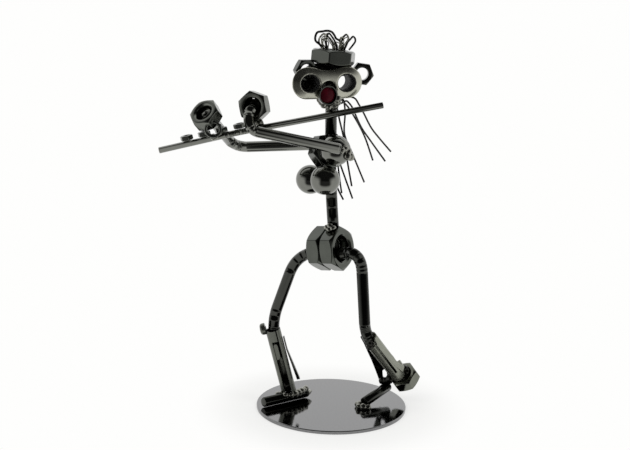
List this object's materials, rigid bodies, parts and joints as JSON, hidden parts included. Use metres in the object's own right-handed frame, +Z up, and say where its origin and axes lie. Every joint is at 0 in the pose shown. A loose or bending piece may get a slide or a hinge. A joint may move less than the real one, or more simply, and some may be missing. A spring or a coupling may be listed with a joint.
{
  "type": "metal flute player figure",
  "caption": "Free-standing flute player figure welded from hexagon nuts, bent rods, steel balls, slotted sleeves and wire on a round plate, in bright black chrome.",
  "frame": {"origin": "centre of the round base plate on its underside", "axes": "+Z up; -Y towards the side the figure shows to the viewer in the picture; +X to the viewer's right, which is the figure's left"},
  "size_m": [0.13, 0.075, 0.188],
  "materials": {
    "plate": "polished grey chrome",
    "black_chrome": "bright black chrome",
    "dark_chrome": "bright black chrome, darker",
    "pale_chrome": "bright black chrome, paler",
    "weld": "plated weld metal, rough",
    "wire": "dark drawn wire",
    "red_enamel": "deep red gloss"
  },
  "bodies": {
    "root": {"base_plate": "plate", "pelvis_nut_right": "black_chrome", "pelvis_nut_left": "black_chrome", "right_foot": "black_chrome", "right_knee_screw": "black_chrome", "right_shin_sleeve": "black_chrome", "right_leg_rod": "black_chrome", "left_foot": "black_chrome", "left_leg_rod": "black_chrome", "left_shin_sleeve": "black_chrome", "left_heel_nut": "black_chrome", "chest_nut": "black_chrome", "spine_rod": "black_chrome", "neck_rod": "black_chrome", "nose_cup": "black_chrome", "hat_nut": "black_chrome", "right_shin_strip": "dark_chrome", "left_shin_strip": "dark_chrome", "goggles": "dark_chrome", "shoulder_ball": "dark_chrome", "flute_key_1": "dark_chrome", "flute_key_2": "dark_chrome", "flute_key_3": "dark_chrome", "flute_key_4": "dark_chrome", "left_hand_nut": "dark_chrome", "right_hand_nut": "dark_chrome", "finger_nut": "dark_chrome", "right_ear_nut": "dark_chrome", "left_ear_nut": "dark_chrome", "bust_ball_left": "pale_chrome", "bust_ball_right": "pale_chrome", "flute": "pale_chrome", "left_arm_rod": "pale_chrome", "right_arm_rod": "pale_chrome", "right_foot_weld": "weld", "left_toe_weld": "weld", "left_knee_weld": "weld", "left_heel_weld": "weld", "waist_weld": "weld", "left_hand_weld": "weld", "finger_weld": "weld", "shoulder_weld": "weld", "neck_weld": "weld", "chin_weld": "weld", "hair_plug": "weld", "strand_weld": "weld", "curl_back_left": "wire", "curl_outer_left": "wire", "curl_inner": "wire", "curl_right": "wire", "curl_front_right": "wire", "strand_1": "wire", "strand_2": "wire", "strand_3": "wire", "strand_4": "wire", "strand_5": "wire", "strand_6": "wire", "strand_7": "wire", "strand_8": "wire", "nose_dome": "red_enamel"}
  },
  "joints": []
}
